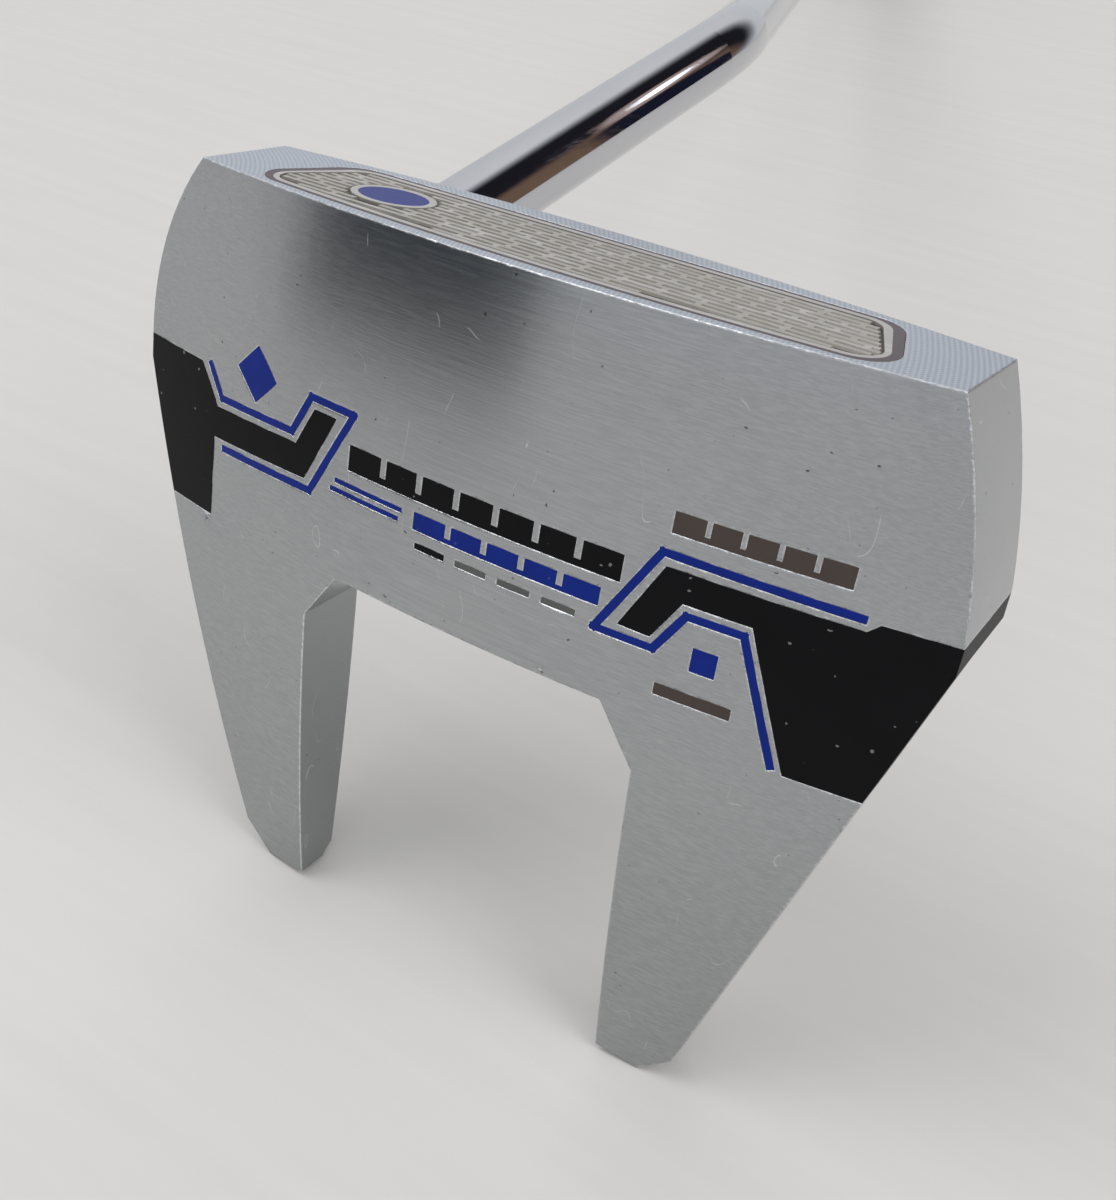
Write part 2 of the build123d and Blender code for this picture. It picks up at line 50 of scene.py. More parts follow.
HEAD = Matrix.Translation(HEAD_SHIFT) @ Matrix.Rotation(HEAD_TURN, 4, "X") @ Matrix.Scale(MILLIMETRE, 4)
LOFT = math.radians(2.5)
LIE = math.radians(70.0)

# Camera
CAMERA_PLACE = (0.06918, -0.09567, 0.13628)
CAMERA_TURN = (54.651, -3.189, 33.537)      # degrees
CAMERA_CLIP = 0.001
LENS = 41.657                               # millimetres
SENSOR = 36.0                               # its height, in millimetres


# Node helpers

class Nodes:
    """Short names for the shader nodes used below."""

    def __init__(self, tree):
        self.tree = tree

    def add(self, kind, **values):
        node = self.tree.nodes.new(kind)
        for key, value in values.items():
            setattr(node, key, value)
        return node

    def link(self, source, target):
        self.tree.links.new(source, target)

    def put(self, socket, value):
        if isinstance(value, bpy.types.NodeSocket):
            self.link(value, socket)
        else:
            socket.default_value = value

    def math(self, operation, a, b=0.0, c=0.0):
        node = self.add("ShaderNodeMath", operation=operation)
        for socket, value in zip(node.inputs, (a, b, c)):
            self.put(socket, value)
        return node.outputs[0]

    def times(self, a, b):
        return self.math("MULTIPLY", a, b)

    def scaled(self, value, gain, offset):
        """value times gain, plus offset."""
        return self.math("MULTIPLY_ADD", value, gain, offset)

    def vector(self, operation, a, b=(0, 0, 0)):
        node = self.add("ShaderNodeVectorMath", operation=operation)
        self.put(node.inputs[0], a)
        self.put(node.inputs[1], b)
        return node.outputs["Value"] if operation in ("LENGTH", "DOT_PRODUCT") else node.outputs[0]

    def split(self, vector):
        node = self.add("ShaderNodeSeparateXYZ")
        self.link(vector, node.inputs[0])
        return node.outputs

    def join(self, x, y, z):
        node = self.add("ShaderNodeCombineXYZ")
        for socket, value in zip(node.inputs, (x, y, z)):
            self.put(socket, value)
        return node.outputs[0]

    def noise(self, vector, scale, detail, rough=0.5):
        node = self.add("ShaderNodeTexNoise")
        self.link(vector, node.inputs["Vector"])
        node.inputs["Scale"].default_value = scale
        node.inputs["Detail"].default_value = detail
        node.inputs["Roughness"].default_value = rough
        return node.outputs["Fac"]

    def step(self, value, low, high, out_low=0.0, out_high=1.0):
        """Smooth change from out_low to out_high as value passes from low to high."""
        node = self.add("ShaderNodeMapRange", interpolation_type="SMOOTHSTEP")
        for name, item in zip(("Value", "From Min", "From Max", "To Min", "To Max"),
                              (value, low, high, out_low, out_high)):
            self.put(node.inputs[name], item)
        return node.outputs["Result"]

    def mix(self, factor, a, b):
        node = self.add("ShaderNodeMix", data_type="RGBA")
        self.put(node.inputs["Factor"], factor)
        self.put(node.inputs["A"], rgba(a))
        self.put(node.inputs["B"], rgba(b))
        return node.outputs["Result"]

    def bump(self, height, distance, strength, normal=None):
        node = self.add("ShaderNodeBump")
        self.link(height, node.inputs["Height"])
        node.inputs["Distance"].default_value = distance
        node.inputs["Strength"].default_value = strength
        if normal is not None:
            self.link(normal, node.inputs["Normal"])
        return node.outputs[0]

    def round_edges(self, radius):
        node = self.add("ShaderNodeBevel", samples=6)
        node.inputs["Radius"].default_value = radius
        return node.outputs[0]

    def object_position(self):
        return self.add("ShaderNodeTexCoord").outputs["Object"]

    def head_position(self):
        """Position in the head's own axes, in millimetres."""
        node = self.add("ShaderNodeMapping", vector_type="TEXTURE")
        self.link(self.object_position(), node.inputs["Vector"])
        node.inputs["Location"].default_value = HEAD_SHIFT
        node.inputs["Rotation"].default_value = (HEAD_TURN, 0, 0)
        node.inputs["Scale"].default_value = (MILLIMETRE, MILLIMETRE, MILLIMETRE)
        return node.outputs[0]

    def stretched(self, vector, scale):
        return self.vector("MULTIPLY", vector, scale)


def rgba(value):
    if isinstance(value, tuple) and len(value) == 3:
        return (*value, 1.0)
    return value


def new_material(name, metallic=0.0, roughness=0.5):
    material = bpy.data.materials.new(name)
    material.use_nodes = True
    shader = material.node_tree.nodes["Principled BSDF"]
    shader.inputs["Metallic"].default_value = metallic
    shader.inputs["Roughness"].default_value = roughness
    return material, Nodes(material.node_tree), shader


# Materials

# How far edges look rounded, in metres
STEEL_EDGE = 0.00045
LAND_EDGE = 0.0003
PAINT_EDGE = 0.0002
GRIP_EDGE = 0.0006

# Depths of the surface relief, in metres
BRUSHED_DEPTH = 0.000008
CAST_DEPTH = 0.00001
GRAIN_DEPTH = 0.00002
COARSE_DEPTH = 0.00003
LOZENGE_DEPTH = 0.00025
FLOOR_DEPTH = 0.0002

# Patterns, in millimetres
MILLING_PITCH = 0.5
MILLING_CENTRES = ((-70.0, 0.0, -20.0), (75.0, 0.0, -28.0))
LOZENGE_PITCH = 3.2
LOZENGE_STRETCH = 0.7       # a lozenge's size around the grip over its size along it
REAR_SHADE_FROM = 55.0         # distance behind the face where painted shade starts to darken the sole towards the fangs
REAR_SHADE_TO = 95.0

ACROSS_BRUSHING = (0.0, math.cos(HEAD_TURN), math.sin(HEAD_TURN))
# Dark tone for dirt in the pits and for painted shade in the nicks along the edges
DIRT_AND_SHADE = (0.05, 0.05, 0.05)
DIRT_AND_SHADE_COVER = 0.8


def hairlines(n, place, scale, width, amount):
    """Thin wandering scratches, in patches."""
    lines = n.math("ABSOLUTE", n.math("SUBTRACT", n.noise(place, scale, detail=1.0), 0.5))
    thin = n.step(lines, 0.0, width, 1.0, 0.0)
    patches = n.step(n.noise(place, scale * 2.3, detail=1.0), amount, amount + 0.06)
    return n.times(thin, patches)


def worn_and_highlit_edges(n, place, rounded):
    """Bright rubbed metal with a painted highlight, and small nicks darkened with painted shade, along the
    edges, as two masks.
    """
    flat = n.add("ShaderNodeNewGeometry").outputs["True Normal"]
    turned = n.math("SUBTRACT", 1.0, n.vector("DOT_PRODUCT", rounded, flat))
    near = n.step(turned, 0.002, 0.02)
    chatter = n.noise(n.stretched(place, (0.9, 2.0, 2.0)), 1.3, detail=4.0, rough=0.75)
    # Painted highlight: the bright band along the edges is partly rubbed metal, partly a painted highlight
    # where light catches the edge.
    bright = n.step(n.scaled(turned, 1.1, chatter), 0.62, 0.71)
    # Painted shade: small dark spots in the nicks along the edges stand in for the shadow inside them.
    dents = n.step(n.noise(n.stretched(place, (1.0, 1.6, 1.6)), 1.7, detail=1.0), 0.62, 0.66)
    shaded_nick = n.times(n.step(turned, 0.01, 0.05), dents)
    return n.times(near, bright), shaded_nick


def satin_steel():
    """Cast steel brushed from heel to toe, with a soft uneven tone, painted shade towards the fangs, a few
    dirty pits, and bright rubbed edges that carry a painted highlight and painted shade in their nicks.
    """
    dull, clean = (0.360, 0.372, 0.380), (0.435, 0.443, 0.448)
    rear_shade_tone, speck_tone = (0.27, 0.275, 0.275), (0.28, 0.29, 0.305)
    brushed_tone, scratch_tone, worn_and_highlit_tone = (0.58, 0.59, 0.60), (0.80, 0.80, 0.81), (0.90, 0.91, 0.93)
    material, n, shader = new_material("satin_steel", metallic=1.0)
    place = n.head_position()
    rounded = n.round_edges(STEEL_EDGE)
    cloud = n.noise(place, 0.05, detail=3.0)
    speck = n.noise(place, 6.0, detail=2.0, rough=0.7)
    brushed = n.noise(n.stretched(place, (0.05, 3.0, 3.0)), 1.8, detail=3.0, rough=0.75)
    scratch = hairlines(n, n.stretched(place, (0.6, 0.25, 0.6)), scale=0.30, width=0.003, amount=0.57)
    pits = n.step(n.noise(place, 1.9, detail=0.0), 0.86, 0.88)
    worn_and_highlit, shaded_nick = worn_and_highlit_edges(n, place, rounded)
    _, y, _ = n.split(place)
    # Painted shade: the steel turns darker towards the fangs, standing in for a shadow seen in its
    # reflection.
    rear_shade = n.step(n.scaled(cloud, 30.0, y), REAR_SHADE_FROM, REAR_SHADE_TO, 0.0, 0.45)
    tone = n.mix(rear_shade, n.mix(cloud, dull, clean), rear_shade_tone)
    tone = n.mix(n.times(speck, 0.30), tone, speck_tone)
    tone = n.mix(n.step(brushed, 0.35, 0.70, 0.0, 0.34), tone, brushed_tone)
    tone = n.mix(n.times(scratch, 0.5), tone, scratch_tone)
    # Dirt in the pits, and painted shade in the nicks along the edges.
    tone = n.mix(n.times(n.math("MAXIMUM", pits, shaded_nick), DIRT_AND_SHADE_COVER), tone, DIRT_AND_SHADE)
    # Bright rubbed edges, partly a painted highlight.
    n.put(shader.inputs["Base Color"], n.mix(worn_and_highlit, tone, worn_and_highlit_tone))
    n.put(shader.inputs["Roughness"], n.scaled(n.math("ADD", speck, brushed), 0.07, 0.15))
    shader.inputs["Anisotropic"].default_value = 0.55
    n.put(shader.inputs["Tangent"], n.join(*ACROSS_BRUSHING))
    height = n.scaled(speck, 0.4, n.times(brushed, 0.7))
    height = n.scaled(scratch, -1.5, height)
    height = n.scaled(n.math("MAXIMUM", worn_and_highlit, shaded_nick), -4.0, height)
    n.put(shader.inputs["Normal"], n.bump(height, BRUSHED_DEPTH, 0.6, rounded))
    return material


def milled_steel():
    """Face land: two crossing sets of fine arcs left by a cutter."""
    groove, ridge = (0.44, 0.48, 0.54), (0.66, 0.70, 0.76)
    cloud_tone, worn_and_highlit_tone = (0.48, 0.50, 0.54), (0.93, 0.94, 0.96)
    material, n, shader = new_material("milled_steel", metallic=1.0)
    place = n.head_position()
    rounded = n.round_edges(LAND_EDGE)
    waves = []
    for centre in MILLING_CENTRES:
        radius = n.vector("LENGTH", n.vector("SUBTRACT", place, centre))
        waves.append(n.math("SINE", n.times(radius, 2 * math.pi / MILLING_PITCH)))
    grid = n.times(n.math("ADD", *waves), 0.5)
    speck = n.noise(place, 3.0, detail=2.0)
    cloud = n.noise(place, 0.06, detail=2.0)
    worn_and_highlit, shaded_nick = worn_and_highlit_edges(n, place, rounded)
    tone = n.mix(n.step(grid, -0.8, 0.8), groove, ridge)
    tone = n.mix(n.times(cloud, 0.25), tone, cloud_tone)
    # Painted shade in the nicks along the edges.
    tone = n.mix(n.times(shaded_nick, DIRT_AND_SHADE_COVER), tone, DIRT_AND_SHADE)
    # Bright rubbed edges, partly a painted highlight.
    n.put(shader.inputs["Base Color"], n.mix(worn_and_highlit, tone, worn_and_highlit_tone))
    n.put(shader.inputs["Roughness"], n.scaled(speck, 0.12, 0.28))
    n.put(shader.inputs["Normal"], n.bump(n.scaled(speck, 0.3, grid), GRAIN_DEPTH, 0.7, rounded))
    return material


def paint(name, colour, roughness, shade=0.6, chips=0.0, gloss=0.5):
    """Enamel filled into a shallow recess: slightly uneven, with specks."""
    chip_tone = (0.45, 0.45, 0.45)
    material, n, shader = new_material(name)
    place = n.head_position()
    cloud = n.noise(place, 0.25, detail=3.0)
    grain = n.noise(place, 4.0, detail=3.0, rough=0.7)
    dust = n.step(n.noise(place, 1.6, detail=0.0), 0.83, 0.86)
    tone = n.mix(cloud, tuple(part * shade for part in colour), colour)
    n.put(shader.inputs["Base Color"], n.mix(n.times(dust, chips), tone, chip_tone))
    n.put(shader.inputs["Roughness"], n.scaled(grain, 0.16, roughness - 0.08))
    n.put(shader.inputs["Normal"], n.bump(grain, GRAIN_DEPTH, 0.35, n.round_edges(PAINT_EDGE)))
    shader.inputs["Specular IOR Level"].default_value = gloss
    return material


def chrome():
    """Polished plating on the shaft, faintly smeared along its length."""
    dull, bright = (0.53, 0.535, 0.56), (0.62, 0.62, 0.64)
    material, n, shader = new_material("shaft_chrome", metallic=1.0)
    place = n.head_position()
    smear = n.noise(n.stretched(place, (1.0, 1.0, 0.15)), 0.25, detail=4.0, rough=0.6)
    fine = n.noise(n.stretched(place, (3.0, 3.0, 0.4)), 1.2, detail=2.0)
    n.put(shader.inputs["Base Color"], n.mix(smear, dull, bright))
    n.put(shader.inputs["Roughness"], n.step(n.times(smear, fine), 0.15, 0.45, 0.03, 0.11))
    n.put(shader.inputs["Normal"], n.bump(smear, GRAIN_DEPTH, 0.15))
    return material


def dark_surround():
    """The dark border around the insert's plate."""
    dark, light = (0.060, 0.042, 0.048), (0.10, 0.075, 0.085)
    material, n, shader = new_material("insert_dark")
    place = n.head_position()
    grain = n.noise(place, 6.0, detail=2.0)
    n.put(shader.inputs["Base Color"], n.mix(n.noise(place, 0.4, detail=2.0), dark, light))
    n.put(shader.inputs["Roughness"], n.scaled(grain, 0.2, 0.35))
    n.put(shader.inputs["Normal"], n.bump(grain, CAST_DEPTH, 0.4))
    return material


def insert_metal(name, light, dark, shine=0.45):
    """The insert's plate: grained metal with brighter patches."""
    shine_tone = (0.75, 0.73, 0.70)
    material, n, shader = new_material(name, metallic=0.85)
    place = n.head_position()
    grain = n.noise(n.stretched(place, (0.5, 2.0, 2.0)), 3.0, detail=3.0, rough=0.7)
    patches = n.noise(n.stretched(place, (0.25, 0.9, 0.9)), 1.0, detail=1.0)
    tone = n.mix(n.step(patches, 0.50, 0.70, 0.0, shine), n.mix(grain, dark, light), shine_tone)
    n.put(shader.inputs["Base Color"], tone)
    n.put(shader.inputs["Roughness"], n.scaled(grain, 0.2, 0.32))
    n.put(shader.inputs["Normal"], n.bump(grain, GRAIN_DEPTH, 0.4))
    return material


def lozenges(n, place):
    """Two crossing sets of slanted rows on the grip, as a mask of raised lozenges."""
    x, y, z = n.split(place)
    along = n.math("SUBTRACT", n.times(z, math.sin(LIE)), n.times(x, math.cos(LIE)))
    across = n.math("ADD", n.times(x, math.sin(LIE)), n.times(z, math.cos(LIE)))
    around = n.math("ADD", y, across)
    waves = []
    for lean in (1.0, -1.0):
        slant = n.math("ADD", n.times(along, LOZENGE_STRETCH), n.times(around, lean))
        waves.append(n.math("SINE", n.times(slant, 2 * math.pi / LOZENGE_PITCH)))
    return n.step(n.times(*waves), -0.15, 0.35)


def rubber():
    """Grip rubber: raised lozenges, dusty in the hollows."""
    dark, light = (0.009, 0.009, 0.010), (0.017, 0.017, 0.018)
    dust_tone, hollow_tone = (0.045, 0.043, 0.040), (0.05, 0.047, 0.043)
    material, n, shader = new_material("grip_rubber")
    place = n.head_position()
    raised = lozenges(n, place)
    grain = n.noise(place, 3.0, detail=3.0, rough=0.7)
    dust = n.noise(place, 0.03, detail=3.0)
    tone = n.mix(n.step(dust, 0.45, 0.75, 0.0, 0.5), n.mix(grain, dark, light), dust_tone)
    tone = n.mix(n.times(n.math("SUBTRACT", 1.0, raised), 0.25), tone, hollow_tone)
    n.put(shader.inputs["Base Color"], tone)
    n.put(shader.inputs["Roughness"], n.scaled(grain, 0.2, 0.52))
    height = n.scaled(grain, 0.25, raised)
    n.put(shader.inputs["Normal"], n.bump(height, LOZENGE_DEPTH, 0.7, n.round_edges(GRIP_EDGE)))
    return material


def plain_grain(name, colour, roughness):
    """A plain moulded or poured finish for the hidden pieces and the grip's cap."""
    material, n, shader = new_material(name)
    grain = n.noise(n.head_position(), 2.0, detail=3.0, rough=0.7)
    n.put(shader.inputs["Base Color"], n.mix(grain, tuple(part * 0.7 for part in colour), colour))
    n.put(shader.inputs["Roughness"], n.scaled(grain, 0.2, roughness - 0.1))
    n.put(shader.inputs["Normal"], n.bump(grain, COARSE_DEPTH, 0.4))
    return material


milled = milled_steel()
plate_rim = insert_metal("insert_rim", light=(0.66, 0.63, 0.60), dark=(0.52, 0.50, 0.47))
plate_ground = insert_metal("insert_ground", light=(0.085, 0.075, 0.065), dark=(0.045, 0.04, 0.035),
                            shine=0.0)
plate_bars = insert_metal("insert_bars", light=(0.60, 0.565, 0.51), dark=(0.42, 0.39, 0.345))

MATERIALS = {
    "satin_steel": satin_steel(),
    "shaft_chrome": chrome(),
    "band_black": paint("band_black", (0.004, 0.004, 0.005), roughness=0.42, chips=0.35, gloss=0.10),
    "line_blue": paint("line_blue", (0.002, 0.020, 0.24), roughness=0.34, chips=0.1, gloss=0.14),
    "mark_brown": paint("mark_brown", (0.055, 0.035, 0.027), roughness=0.42),
    "mark_grey": paint("mark_grey", (0.10, 0.10, 0.095), roughness=0.45),
    "crown_white": paint("crown_white", (0.74, 0.745, 0.74), roughness=0.38, shade=0.92),
    "insert_dark": dark_surround(),
    "insert_metal": plate_rim,
    "insert_polymer": plain_grain("insert_polymer", (0.30, 0.30, 0.30), roughness=0.5),
    "adhesive": plain_grain("adhesive", (0.48, 0.45, 0.36), roughness=0.4),
    "grip_rubber": rubber(),
    "grip_tape": plain_grain("grip_tape", (0.72, 0.68, 0.58), roughness=0.7),
    "cap_plastic": plain_grain("cap_plastic", (0.02, 0.02, 0.02), roughness=0.45),
    "plug_rubber": plain_grain("plug_rubber", (0.06, 0.06, 0.06), roughness=0.6),
}

ON_FACE = 0.1               # a face centre this near the face plane lies on it, in millimetres
FACING = 0.99               # and its normal agrees with the face plane's at least this well


def dress_nodes():
    slots = {item["node"]: item["material_slot"] for item in frame["record"]["subparts"]}
    for name, obj in frame["nodes"].items():
        obj.data.materials.clear()
        obj.data.materials.append(MATERIALS[slots[name]])


def dress_face_land():
    """The flat front of the casting has the milled finish."""
    body = frame["nodes"]["head_body"]
    body.data.materials.append(milled)
    outward = (HEAD.to_3x3() @ Vector((0, -math.cos(LOFT), math.sin(LOFT)))).normalized()
    back = HEAD.inverted()
    for polygon in body.data.polygons:
        centre = back @ polygon.center
        on_face = abs(centre.y - centre.z * math.tan(LOFT)) < ON_FACE
        if on_face and polygon.normal.dot(outward) > FACING:
            polygon.material_index = 1


dress_nodes()
dress_face_land()


# The insert's metal plate, with its embossed pattern, in millimetres on the face plane

FACE_TURN = Matrix.Rotation(math.pi / 2 - LOFT, 4, "X")
PLATE_LOW = 5.8
PLATE_LOW_RADIUS = 329.4    # its bottom edge is bowed
PLATE_HIGH = 20.7
PLATE_LOWER_HALF = 36.1
PLATE_UPPER_HALF = 31.5
PLATE_CORNER = 3.4
PLATE_THICKNESS = 0.9
PLATE_RIM = 0.75            # plain border
GROUND_DEPTH = 0.30         # the grooves' floor lies this far behind the face
BADGE_PLACE = (-22.1, 13.9)
BADGE_HALF = (4.1, 3.1)
PAD_MARGIN = 0.8            # smooth pad around the badge
BAR_ROWS = 11
BAR_GAP = 0.44              # groove between two rows
BAR_SLOPE = 0.07            # how much narrower a bar's top is on each side
BAR_DROP = 0.03             # the bars stay this far behind the rim
BAR_CLEARANCE = 0.15        # between the bars and the rim or the pad
BRIDGE_LENGTH = 0.8         # where two rows join
BRIDGE_PITCH = 4.2
BRIDGE_START = 0.3          # where a groove's first bridge stands, in pitches
BRIDGE_STAGGER = 0.5        # how much further along it stands in every other groove, in pitches

RIM_SLOT, GROUND_SLOT, BAR_SLOT = range(3)


def corner_arc(corner, before, after, radius, steps=8):
    """Points of a rounded corner between two directions that lead away from it."""
    half = before.angle(after) / 2
    centre = corner + (before + after).normalized() * radius / math.sin(half)
    start = corner + before * radius / math.tan(half) - centre
    turn = math.pi - 2 * half
    points = []
    for step in range(steps + 1):
        angle = turn * step / steps
        x = start.x * math.cos(angle) - start.y * math.sin(angle)
        y = start.x * math.sin(angle) + start.y * math.cos(angle)
        points.append(centre + Vector((x, y)))
    return points


def rounded_plate(inset, steps=24):
    """The plate's outline, moved inwards, as points on the face plane."""
    high = PLATE_HIGH - inset
    bow = PLATE_LOW_RADIUS - inset
    lower = PLATE_LOWER_HALF - inset
    upper = PLATE_UPPER_HALF - inset
    centre = PLATE_LOW + PLATE_LOW_RADIUS
    foot = centre - math.sqrt(bow ** 2 - lower ** 2)
    tangent = Vector((centre - foot, lower)).normalized()
    side = (Vector((upper, high)) - Vector((lower, foot))).normalized()
    radius = PLATE_CORNER - inset
    toe_low = corner_arc(Vector((lower, foot)), -tangent, side, radius)
    toe_high = corner_arc(Vector((upper, high)), -side, Vector((-1, 0)), radius)
    reach = toe_low[0].x
    bottom = []
    for step in range(1, steps):
        x = reach * (2 * step / steps - 1)
        bottom.append(Vector((x, centre - math.sqrt(bow ** 2 - x ** 2))))
    heel = [Vector((-point.x, point.y)) for point in reversed(toe_low + toe_high)]
    return bottom + toe_low + toe_high + heel


def badge_outline(margin, steps=64):
    """The badge's oval, moved outwards."""
    points = []
    for step in range(steps):
        angle = 2 * math.pi * step / steps
        x = BADGE_PLACE[0] + (BADGE_HALF[0] + margin) * math.cos(angle)
        y = BADGE_PLACE[1] + (BADGE_HALF[1] + margin) * math.sin(angle)
        points.append(Vector((x, y)))
    return points


def add_slab(builder, loops, front, back, slot):
    """A flat piece with straight walls between two depths; loops after the first are holes."""
    edges = []
    for loop in loops:
        corners = [builder.verts.new((point.x, point.y, -front)) for point in loop]
        for one, two in zip(corners, corners[1:] + corners[:1]):
            edges.append(builder.edges.new((one, two)))
    filled = bmesh.ops.triangle_fill(builder, use_beauty=True, edges=edges, normal=(0, 0, 1))
    front_faces = [item for item in filled["geom"] if isinstance(item, bmesh.types.BMFace)]
    made = bmesh.ops.extrude_face_region(builder, geom=front_faces, use_keep_orig=True)["geom"]
    for item in made:
        if isinstance(item, bmesh.types.BMVert):
            item.co.z = -back
    back_faces = {item for item in made if isinstance(item, bmesh.types.BMFace)}
    front_corners = {vert for face in front_faces for vert in face.verts}
    front_and_walls = {face for vert in front_corners for face in vert.link_faces}
    for face in front_and_walls | back_faces:
        face.material_index = slot


def add_bar(builder, left, right, low, high):
    """One embossed bar: a small block whose top is smaller than its foot."""
    feet = [(left, low), (right, low), (right, high), (left, high)]
    tops = [(left + BAR_SLOPE, low + BAR_SLOPE), (right - BAR_SLOPE, low + BAR_SLOPE)]
    tops += [(right - BAR_SLOPE, high - BAR_SLOPE), (left + BAR_SLOPE, high - BAR_SLOPE)]
    foot = [builder.verts.new((x, y, -GROUND_DEPTH)) for x, y in feet]
    top = [builder.verts.new((x, y, -BAR_DROP)) for x, y in tops]
    builder.faces.new(top).material_index = BAR_SLOT
    for side in range(4):
        follow = (side + 1) % 4
        wall = builder.faces.new((foot[side], foot[follow], top[follow], top[side]))
        wall.material_index = BAR_SLOT


def row_reach(outline, height):
    """How far the outline reaches from the middle at a height."""
    for one, two in zip(outline, outline[1:] + outline[:1]):
        if max(one.x, two.x) > 0 and min(one.y, two.y) <= height <= max(one.y, two.y) and one.y != two.y:
            share = (height - one.y) / (two.y - one.y)
            return one.x + share * (two.x - one.x)
    return 0.0


def free_spans(low, high):
    """Stretches between two heights that are clear of the rim and of the pad around the badge."""
    outline = rounded_plate(PLATE_RIM + BAR_CLEARANCE)
    reach = min(row_reach(outline, low), row_reach(outline, high))
    away = max(low - BADGE_PLACE[1], BADGE_PLACE[1] - high, 0.0)
    pad_x, pad_y = (half + PAD_MARGIN + BAR_CLEARANCE for half in BADGE_HALF)
    if away >= pad_y:
        return [(-reach, reach)]
    half = pad_x * math.sqrt(1 - (away / pad_y) ** 2)
    return [(-reach, BADGE_PLACE[0] - half), (BADGE_PLACE[0] + half, reach)]


def add_bars(builder):
    """Long raised rows, joined here and there by short bridges."""
    start_height = PLATE_LOW + PLATE_RIM + BAR_CLEARANCE
    pitch = (PLATE_HIGH - PLATE_RIM - BAR_CLEARANCE - start_height) / BAR_ROWS
    for row in range(BAR_ROWS):
        low = start_height + pitch * row + BAR_GAP / 2
        high = low + pitch - BAR_GAP
        for start, end in free_spans(low, high):
            if end - start > BRIDGE_LENGTH:
                add_bar(builder, start, end, low, high)
        if row + 1 < BAR_ROWS:
            add_bridges(builder, row, high, high + BAR_GAP)


def add_bridges(builder, row, low, high):
    """Short bars across the groove above a row, staggered from groove to groove."""
    overlap = 2 * BAR_SLOPE
    for start, end in free_spans(low - BRIDGE_LENGTH, high + BRIDGE_LENGTH):
        place = start + BRIDGE_PITCH * (BRIDGE_START + BRIDGE_STAGGER * (row % 2))
        while place + BRIDGE_LENGTH < end:
            add_bar(builder, place, place + BRIDGE_LENGTH, low - overlap, high + overlap)
            place += BRIDGE_PITCH


def embossed_plate():
    """The plate: a ground, a plain rim, a pad around the badge, and the raised rows."""
    mesh = bpy.data.meshes.new("insert_plate_embossed")
    builder = bmesh.new()
    edge = rounded_plate(0.0)
    rim = rounded_plate(PLATE_RIM)
    badge = badge_outline(0.0)
    pad = badge_outline(PAD_MARGIN)
    add_slab(builder, (edge, badge), GROUND_DEPTH, PLATE_THICKNESS, GROUND_SLOT)
    add_slab(builder, (edge, rim), 0.0, GROUND_DEPTH, RIM_SLOT)
    add_slab(builder, (pad, badge), 0.0, GROUND_DEPTH, RIM_SLOT)
    add_bars(builder)
    bmesh.ops.recalc_face_normals(builder, faces=builder.faces)
    builder.transform(HEAD @ FACE_TURN)
    builder.to_mesh(mesh)
    builder.free()
    for material in (plate_rim, plate_ground, plate_bars):
        mesh.materials.append(material)
    plate = bpy.data.objects.new("insert_plate_embossed", mesh)
    bpy.context.collection.objects.link(plate)
    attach(plate, "root")
    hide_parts("insert_plate")


embossed_plate()


# Stage, light and camera, in metres

FLOOR_HALF = 4.0
LIGHT_TARGET = (0, 0, 0.04)
LIGHT_SIZE = 2.0
KEY_PLACE, KEY_POWER = (-1.5, -1.1, 3.0), 23.0
FILL_PLACE, FILL_POWER = (2.4, -0.3, 2.6), 27.0
CARD_AZIMUTH = -131.0       # degrees
CARD_DISTANCE = 0.6
CARD_WIDTH = 0.27
CARD_HEIGHT = 0.6

# The surroundings, as directions from the club. The shaft reflects the dark and light streaks.
DARK_ROOM = (0.45, 0.72, 0.50)
BROWN_ROOM = (0.60, 0.75, 0.12)
DARK_STREAK, DARK_STREAK_ALONG = (0.535, 0.84, 0.13), (0.09, 0.21, -0.97)
LIGHT_STREAK, LIGHT_STREAK_ALONG = (0.415, 0.792, 0.437), (0.62, 0.08, -0.78)


def add_sheet(name, cells, half_size):
    """A flat square sheet."""
    mesh = bpy.data.meshes.new(name)
    builder = bmesh.new()
    bmesh.ops.create_grid(builder, x_segments=cells, y_segments=cells, size=half_size)
    builder.to_mesh(mesh)
    builder.free()
    sheet = bpy.data.objects.new(name, mesh)
    bpy.context.collection.objects.link(sheet)
    return sheet


def make_floor():
    dark, light = (0.66, 0.645, 0.62), (0.72, 0.705, 0.68)
    floor = add_sheet("floor", cells=8, half_size=FLOOR_HALF)
    material, n, shader = new_material("floor", roughness=0.8)
    grain = n.noise(n.stretched(n.object_position(), (4.0, 60.0, 1.0)), 3.0, detail=4.0, rough=0.6)
    n.put(shader.inputs["Base Color"], n.mix(grain, dark, light))
    shader.inputs["Specular IOR Level"].default_value = 0.0
    n.put(shader.inputs["Normal"], n.bump(grain, FLOOR_DEPTH, 0.2))
    floor.data.materials.append(material)


def dark_card():
    """A dark card standing to the left of the camera, which shows only in reflections."""
    dark, light = (0.008, 0.018, 0.032), (0.016, 0.034, 0.056)
    card = add_sheet("card", cells=4, half_size=0.5)
    azimuth = math.radians(CARD_AZIMUTH)
    card.location = (CARD_DISTANCE * math.cos(azimuth), CARD_DISTANCE * math.sin(azimuth), CARD_HEIGHT / 2)
    card.rotation_euler = (math.pi / 2, 0, azimuth + math.pi / 2)
    card.scale = (CARD_WIDTH, CARD_HEIGHT, 1)
    material, n, shader = new_material("card", roughness=0.9)
    grain = n.noise(n.object_position(), 6.0, detail=3.0)
    n.put(shader.inputs["Base Color"], n.mix(grain, dark, light))
    card.data.materials.append(material)
    card.visible_camera = False
    card.visible_diffuse = False
    card.visible_shadow = False


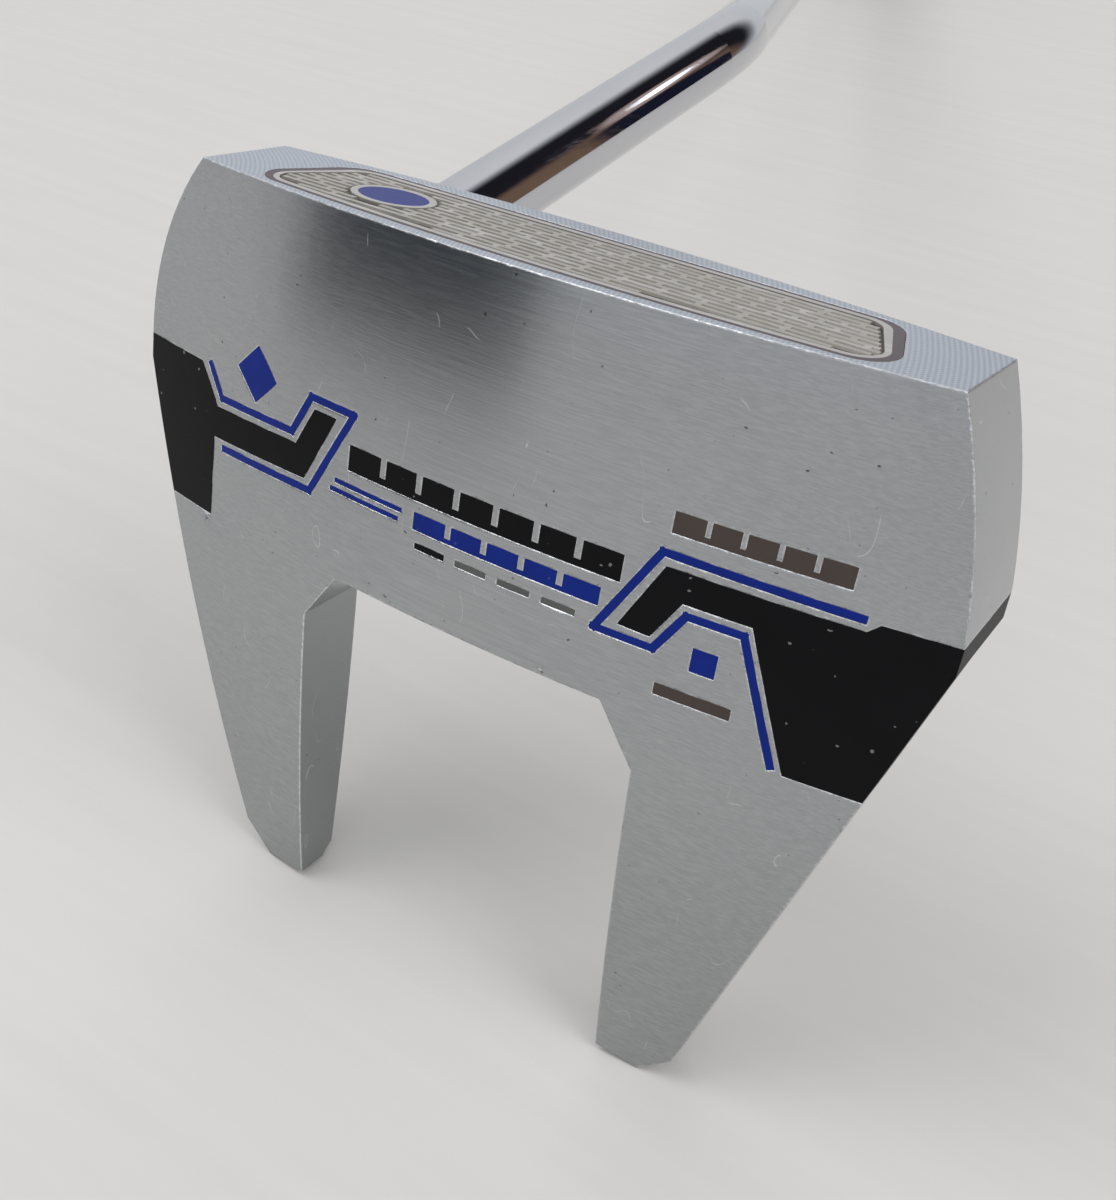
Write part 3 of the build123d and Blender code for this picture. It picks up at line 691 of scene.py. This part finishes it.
def soft_light(name, place, power):
    data = bpy.data.lights.new(name, "AREA")
    data.shape = "DISK"
    data.size = LIGHT_SIZE
    data.energy = power
    light = bpy.data.objects.new(name, data)
    bpy.context.collection.objects.link(light)
    light.location = place
    direction = Vector(LIGHT_TARGET) - Vector(place)
    light.rotation_euler = direction.to_track_quat("-Z", "Y").to_euler()


def blob(n, direction, centre, inner, outer):
    """1 around a direction, fading to 0 between two angles in degrees."""
    along = n.vector("DOT_PRODUCT", direction, tuple(Vector(centre).normalized()))
    return n.step(along, math.cos(math.radians(outer)), math.cos(math.radians(inner)))


def streak(n, direction, centre, along, half_length, half_width):
    """1 inside a small oval of directions, fading to 0 just outside it."""
    middle = Vector(centre).normalized()
    across = middle.cross(Vector(along)).normalized()
    offset = n.vector("SUBTRACT", direction, tuple(middle))
    reach = n.math("DIVIDE", n.vector("DOT_PRODUCT", offset, tuple(across.cross(middle))), half_length)
    spread = n.math("DIVIDE", n.vector("DOT_PRODUCT", offset, tuple(across)), half_width)
    away = n.math("ADD", n.times(reach, reach), n.times(spread, spread))
    return n.step(away, 0.8, 1.5, 1.0, 0.0)


def studio_world():
    """A pale room with dark, brown and bright parts that show in the metal."""
    low_tone, high_tone = (0.62, 0.64, 0.67), (0.86, 0.87, 0.90)
    world = bpy.data.worlds.new("studio")
    bpy.context.scene.world = world
    world.use_nodes = True
    world.node_tree.nodes.clear()
    n = Nodes(world.node_tree)
    direction = n.vector("NORMALIZE", n.add("ShaderNodeTexCoord").outputs["Generated"])
    _, _, height = n.split(direction)
    dark_room = blob(n, direction, DARK_ROOM, inner=22, outer=40)
    brown_room = blob(n, direction, BROWN_ROOM, inner=8, outer=22)
    dark_band = streak(n, direction, DARK_STREAK, DARK_STREAK_ALONG, half_length=0.20, half_width=0.055)
    glow = streak(n, direction, LIGHT_STREAK, LIGHT_STREAK_ALONG, half_length=0.13, half_width=0.045)
    glint = streak(n, direction, LIGHT_STREAK, LIGHT_STREAK_ALONG, half_length=0.06, half_width=0.022)
    tone = n.mix(n.step(height, -0.1, 0.9), low_tone, high_tone)
    tone = n.mix(dark_room, tone, (0.015, 0.015, 0.02))
    tone = n.mix(brown_room, tone, (0.20, 0.13, 0.09))
    tone = n.mix(dark_band, tone, (0.012, 0.014, 0.03))
    tone = n.mix(glow, tone, (0.50, 0.39, 0.36))
    tone = n.mix(glint, tone, (2.2, 2.3, 2.5))
    background = n.add("ShaderNodeBackground")
    n.put(background.inputs["Color"], tone)
    output = n.add("ShaderNodeOutputWorld")
    n.link(background.outputs[0], output.inputs[0])


def make_camera():
    data = bpy.data.cameras.new("camera")
    data.sensor_fit = "VERTICAL"
    data.sensor_height = SENSOR
    data.lens = LENS
    data.clip_start = CAMERA_CLIP
    camera = bpy.data.objects.new("camera", data)
    bpy.context.collection.objects.link(camera)
    camera.location = CAMERA_PLACE
    camera.rotation_euler = [math.radians(turn) for turn in CAMERA_TURN]
    bpy.context.scene.camera = camera


make_floor()
soft_light("key", KEY_PLACE, KEY_POWER)
soft_light("fill", FILL_PLACE, FILL_POWER)
studio_world()
dark_card()
make_camera()

scene = bpy.context.scene
scene.view_settings.view_transform = "Standard"
